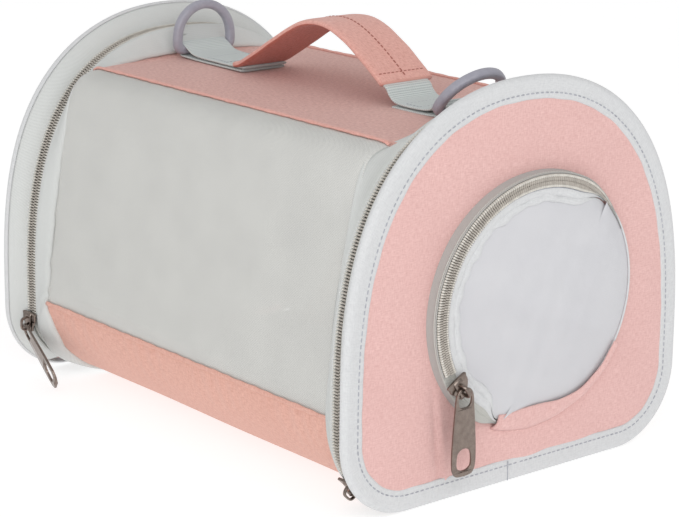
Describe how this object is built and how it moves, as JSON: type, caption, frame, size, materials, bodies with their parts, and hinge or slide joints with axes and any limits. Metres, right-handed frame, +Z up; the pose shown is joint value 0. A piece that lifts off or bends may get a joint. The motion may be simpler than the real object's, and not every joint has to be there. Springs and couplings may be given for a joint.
{
  "type": "pet carrier bag",
  "caption": "Soft arched pet carrier with mesh sides, zip-open end doors, a round zipped window, a fabric handle, plastic D-rings and a padded floor mat.",
  "frame": {"origin": "middle of the bounding box at floor level", "axes": "+X towards the end door with the round window, +Y across to the far side, +Z up"},
  "size_m": [0.2534, 0.18, 0.1727],
  "materials": {
    "pink_fabric": "heathered woven polyester, matt",
    "grey_fabric": "plain woven binding and gusset cloth, matt",
    "net": "fine knitted mesh, semi-sheer",
    "webbing": "ribbed polyester webbing",
    "mat_cloth": "padded fleece, matt",
    "zip_coil": "nylon coil, satin",
    "gunmetal": "gunmetal plated, glossy",
    "ring_plastic": "moulded acetal, soft gloss",
    "board": "stiff sheet, matt",
    "spring_wire": "bare spring steel wire"
  },
  "bodies": {
    "bag": {"bottom_tray": "pink_fabric", "base_board": "board", "side_mesh_near": "net", "side_mesh_far": "net", "top_panel": "pink_fabric", "front_facing": "grey_fabric", "front_wire_frame": "spring_wire", "front_body_tape": "grey_fabric", "front_body_coil": "zip_coil", "front_hinge_strip": "grey_fabric", "rear_facing": "grey_fabric", "rear_wire_frame": "spring_wire", "rear_body_tape": "grey_fabric", "rear_body_coil": "zip_coil", "rear_hinge_strip": "grey_fabric", "rear_webbing": "webbing", "front_webbing": "webbing"},
    "mat": {"floor_mat": "mat_cloth"},
    "front_door": {"front_panel": "pink_fabric", "front_board": "board", "front_binding": "grey_fabric", "front_gusset": "grey_fabric", "front_door_tape": "grey_fabric", "front_door_coil": "zip_coil", "window_wall": "grey_fabric", "window_lip": "pink_fabric", "window_outer_coil": "zip_coil", "window_sewn_mesh": "net"},
    "window_flap": {"window_flap_mesh": "net", "window_flap_piping": "grey_fabric", "window_flap_tape": "grey_fabric", "window_flap_coil": "zip_coil"},
    "window_slider": {"window_slider": "gunmetal"},
    "window_pull": {"window_pull": "gunmetal"},
    "front_slider": {"front_slider": "gunmetal"},
    "front_pull": {"front_pull": "gunmetal"},
    "rear_door": {"rear_panel": "pink_fabric", "rear_board": "board", "rear_binding": "grey_fabric", "rear_gusset": "grey_fabric", "rear_door_tape": "grey_fabric", "rear_door_coil": "zip_coil"},
    "rear_slider": {"rear_slider": "gunmetal"},
    "rear_pull": {"rear_pull": "gunmetal"},
    "handle": {"handle_grip": "pink_fabric"},
    "rear_ring": {"rear_d_ring": "ring_plastic"},
    "front_ring": {"front_d_ring": "ring_plastic"}
  },
  "joints": [
    {"name": "front_door_hinge", "type": "hinge", "parent": "bag", "child": "front_door", "pos_m": [0.1129, 0, 0.0036], "axis": [0, 1, 0], "range_deg": [0, 90]},
    {"name": "rear_door_hinge", "type": "hinge", "parent": "bag", "child": "rear_door", "pos_m": [-0.1243, 0, 0.0036], "axis": [0, -1, 0], "range_deg": [0, 90]},
    {"name": "window_flap_fold", "type": "hinge", "parent": "front_door", "child": "window_flap", "pos_m": [0.1182, 0.0157, 0.06882], "axis": [0, 0.5373, 0.8434], "range_deg": [0, 120]},
    {"name": "window_slider_travel", "type": "hinge", "parent": "front_door", "child": "window_slider", "pos_m": [0.1213, 0.006, 0.075], "axis": [-1, 0, 0], "range_deg": [0, 155]},
    {"name": "window_pull_swing", "type": "hinge", "parent": "window_slider", "child": "window_pull", "pos_m": [0.124, -0.03635, 0.04813], "axis": [0, -1, 0], "range_deg": [-6, 110]},
    {"name": "front_slider_travel", "type": "hinge", "parent": "bag", "child": "front_slider", "pos_m": [0.1033, -0.0555, 0.032], "axis": [-1, 0, 0], "range_deg": [0, 23]},
    {"name": "front_pull_swing", "type": "hinge", "parent": "front_slider", "child": "front_pull", "pos_m": [0.1033, -0.07599, 0.00876], "axis": [-1, 0, 0], "range_deg": [0, 100]},
    {"name": "rear_slider_travel", "type": "slide", "parent": "bag", "child": "rear_slider", "axis": [0, 0, 1], "range_m": [0, 0.03]},
    {"name": "rear_pull_swing", "type": "hinge", "parent": "rear_slider", "child": "rear_pull", "pos_m": [-0.11586, -0.08668, 0.02508], "axis": [-0.5914, 0.342, -0.7303], "range_deg": [0, 50]},
    {"name": "handle_flop", "type": "hinge", "parent": "bag", "child": "handle", "pos_m": [-0.0057, 0, 0.1434], "axis": [1, 0, 0], "range_deg": [-14, 14], "stiffness_Nm_per_rad": 0.02},
    {"name": "rear_ring_swing", "type": "hinge", "parent": "bag", "child": "rear_ring", "pos_m": [-0.0957, 0, 0.1469], "axis": [0, 1, 0], "range_deg": [-30, 87]},
    {"name": "front_ring_swing", "type": "hinge", "parent": "bag", "child": "front_ring", "pos_m": [0.0788, 0, 0.1469], "axis": [0, 1, 0], "range_deg": [-127, 8]},
    {"name": "mat_lift", "type": "slide", "parent": "bag", "child": "mat", "axis": [0, 0, 1], "range_m": [0, 0.03]}
  ]
}
